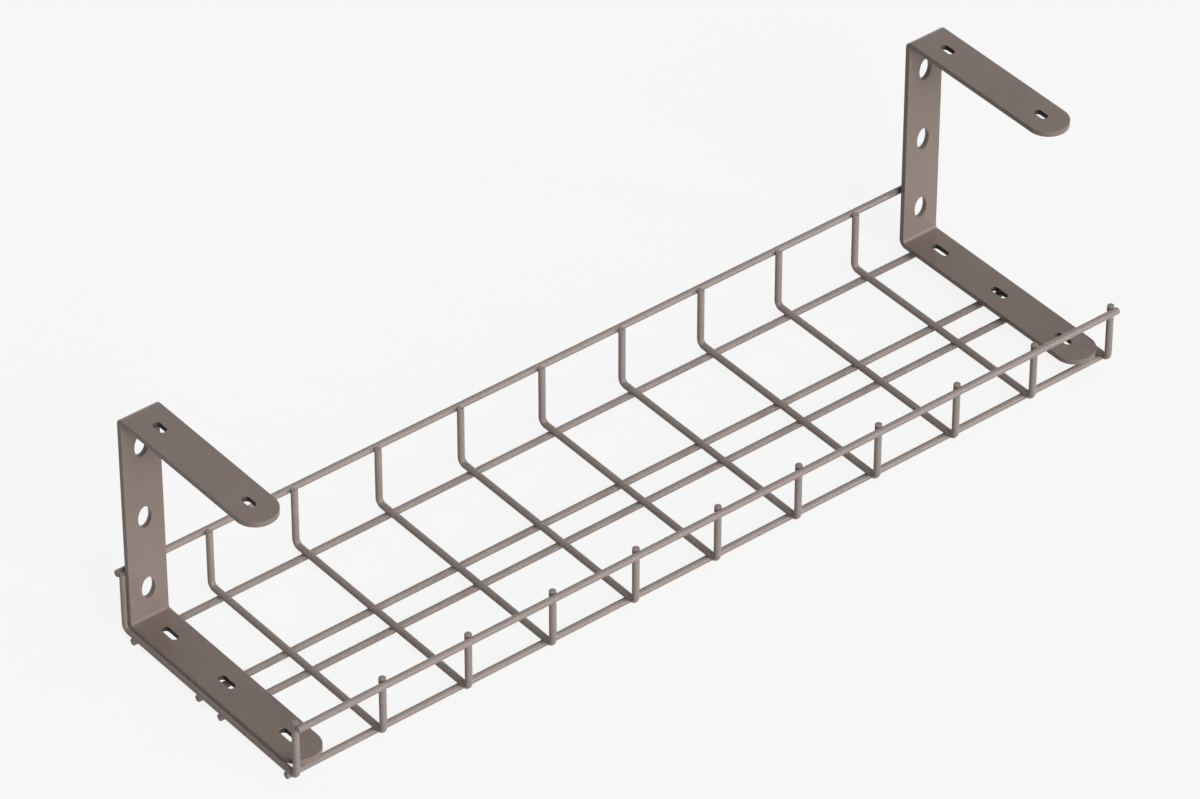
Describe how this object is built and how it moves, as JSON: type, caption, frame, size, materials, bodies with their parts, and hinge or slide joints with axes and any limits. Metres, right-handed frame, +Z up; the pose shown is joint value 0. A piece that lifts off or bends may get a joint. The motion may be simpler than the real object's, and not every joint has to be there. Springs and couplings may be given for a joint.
{
  "type": "cable trunking",
  "caption": "Welded wire basket on two bent flat-strip brackets with slotted flanges, for carrying cables under a desk top.",
  "frame": {"origin": "on the floor, under the middle of the basket", "axes": "+X along the basket's length, +Y towards the brackets' uprights, +Z up towards the desk top"},
  "size_m": [0.69, 0.2, 0.1835],
  "materials": {
    "coated_wire": "satin powder coat",
    "coated_strip": "satin powder coat"
  },
  "bodies": {
    "root": {"cross_wire_01": "coated_wire", "cross_wire_02": "coated_wire", "cross_wire_03": "coated_wire", "cross_wire_04": "coated_wire", "cross_wire_05": "coated_wire", "cross_wire_06": "coated_wire", "cross_wire_07": "coated_wire", "cross_wire_08": "coated_wire", "cross_wire_09": "coated_wire", "cross_wire_10": "coated_wire", "cross_wire_11": "coated_wire", "front_rail": "coated_wire", "back_rail": "coated_wire", "floor_wire_1": "coated_wire", "floor_wire_2": "coated_wire", "floor_wire_3": "coated_wire", "floor_wire_4": "coated_wire", "bracket_left": "coated_strip", "bracket_right": "coated_strip"}
  },
  "joints": []
}
